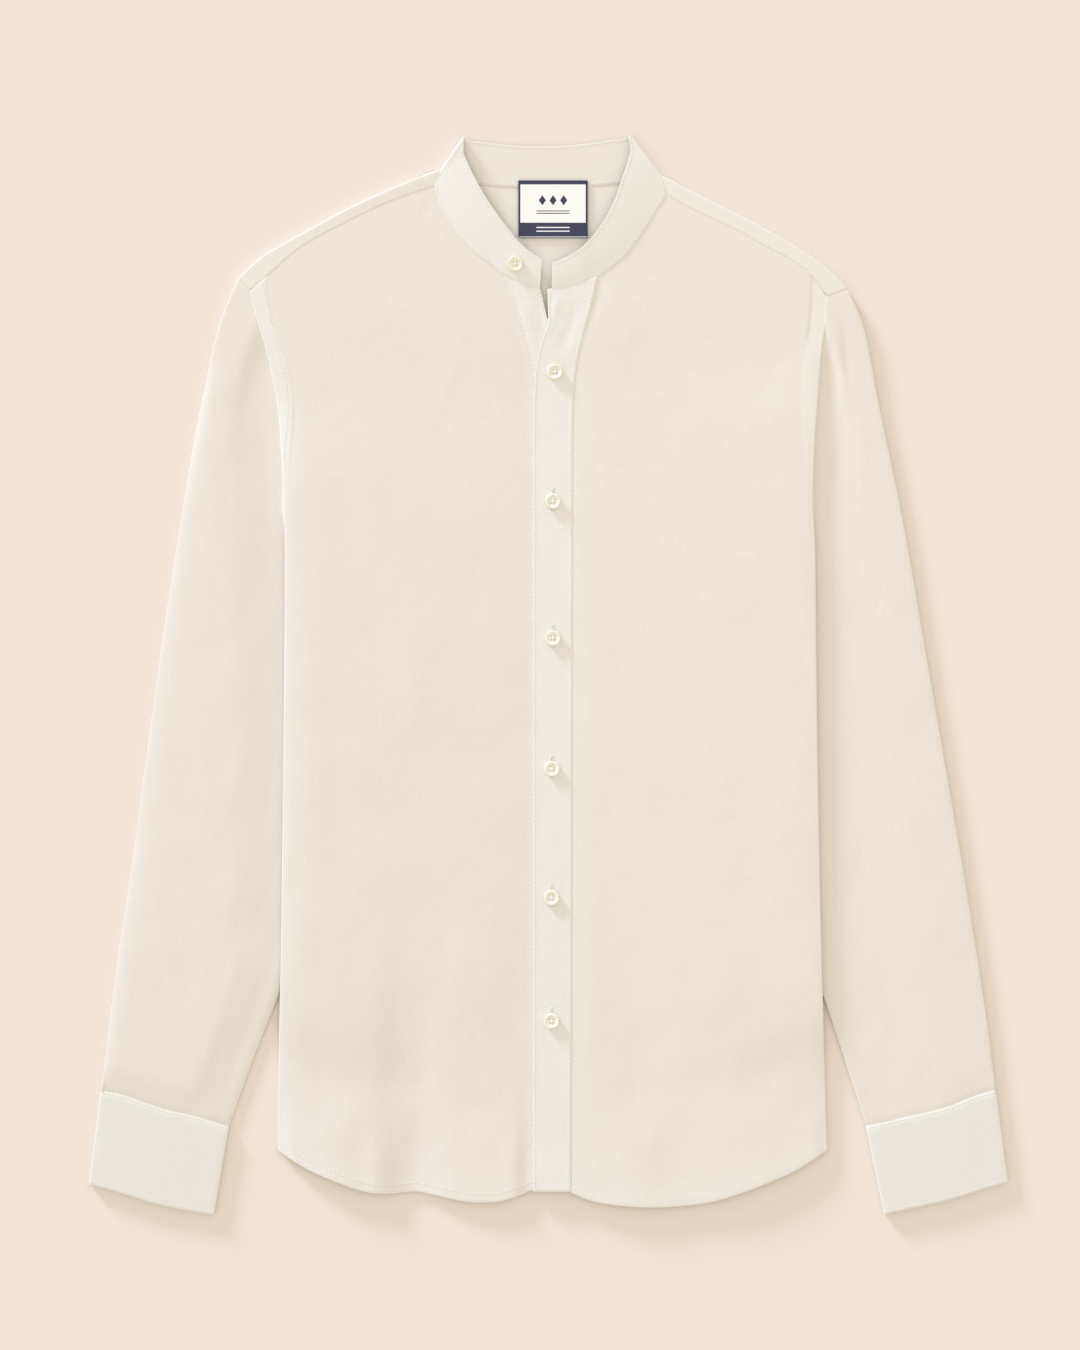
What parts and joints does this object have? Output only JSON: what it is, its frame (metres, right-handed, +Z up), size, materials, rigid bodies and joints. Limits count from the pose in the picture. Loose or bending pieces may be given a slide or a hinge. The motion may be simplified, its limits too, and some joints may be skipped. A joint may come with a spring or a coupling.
{
  "type": "mandarin collar shirt",
  "caption": "Long-sleeved linen shirt with a stand-up band collar, buttoned down the front and laid flat on its back.",
  "frame": {"origin": "centre of the bounding box's underside: the surface that the shirt lies on", "axes": "+X towards the wearer's left sleeve, +Y from the hem to the collar, +Z up out of the front of the shirt"},
  "size_m": [0.6896, 0.8116, 0.0093],
  "materials": {
    "linen_single": "plain-weave linen, single layer, ecru, matt",
    "linen_double": "plain-weave linen, double layer, off-white, matt",
    "label_satin": "woven satin label, cream field with a navy border",
    "button_resin": "polished ivory resin"
  },
  "bodies": {
    "root": {"back_panel": "linen_single", "yoke": "linen_double", "front_right": "linen_single", "front_left": "linen_single", "sleeve_right": "linen_single", "sleeve_left": "linen_single", "cuff_right": "linen_double", "cuff_left": "linen_double", "placket_button": "linen_double", "placket_buttonhole": "linen_double", "collar_band": "linen_double", "neck_label": "label_satin", "button_collar": "button_resin", "button_front_1": "button_resin", "button_front_2": "button_resin", "button_front_3": "button_resin", "button_front_4": "button_resin", "button_front_5": "button_resin", "button_front_6": "button_resin"}
  },
  "joints": []
}
